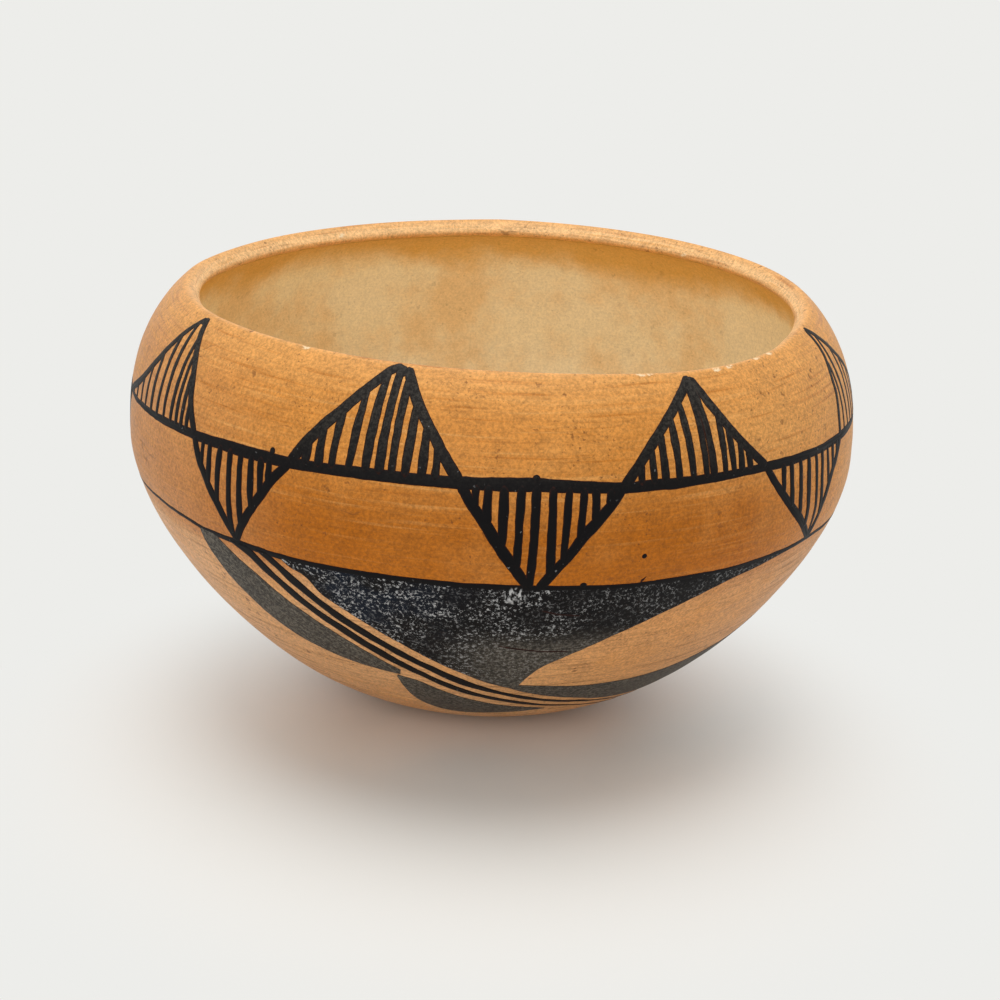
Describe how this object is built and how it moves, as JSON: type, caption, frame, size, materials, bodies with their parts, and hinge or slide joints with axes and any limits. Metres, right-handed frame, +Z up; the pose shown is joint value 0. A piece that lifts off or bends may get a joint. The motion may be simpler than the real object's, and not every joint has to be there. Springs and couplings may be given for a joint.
{
  "type": "pottery bowl",
  "caption": "Deep round coil-built clay bowl with in-turned shoulders, a wide mouth and a belt of black hatched triangles over sweeping black wings.",
  "frame": {"origin": "middle of the flat foot, on the surface that the bowl stands on", "axes": "+Z up along the axis that the bowl is round about, and the painted front of the picture faces -Y"},
  "size_m": [0.201, 0.201, 0.1125],
  "materials": {
    "burnished_clay": "burnished orange-tan fired clay",
    "black_slip": "brushed black slip paint, soft sheen"
  },
  "bodies": {
    "root": {"base_dish": "burnished_clay", "wall_coil_1": "burnished_clay", "wall_coil_2": "burnished_clay", "wall_coil_3": "burnished_clay", "wall_coil_4": "burnished_clay", "wall_coil_5": "burnished_clay", "wall_coil_6": "burnished_clay", "rim_coil": "burnished_clay", "middle_line": "black_slip", "lower_line": "black_slip", "upper_triangle_1": "black_slip", "upper_triangle_2": "black_slip", "upper_triangle_3": "black_slip", "upper_triangle_4": "black_slip", "upper_triangle_5": "black_slip", "upper_triangle_6": "black_slip", "upper_triangle_7": "black_slip", "upper_triangle_8": "black_slip", "lower_triangle_1": "black_slip", "lower_triangle_2": "black_slip", "lower_triangle_3": "black_slip", "lower_triangle_4": "black_slip", "lower_triangle_5": "black_slip", "lower_triangle_6": "black_slip", "lower_triangle_7": "black_slip", "lower_triangle_8": "black_slip", "wing_1": "black_slip", "tail_1": "black_slip", "crescent_1": "black_slip", "low_crescent_1": "black_slip", "fine_line_1a": "black_slip", "fine_line_1b": "black_slip", "wing_2": "black_slip", "tail_2": "black_slip", "crescent_2": "black_slip", "low_crescent_2": "black_slip", "fine_line_2a": "black_slip", "fine_line_2b": "black_slip"}
  },
  "joints": []
}
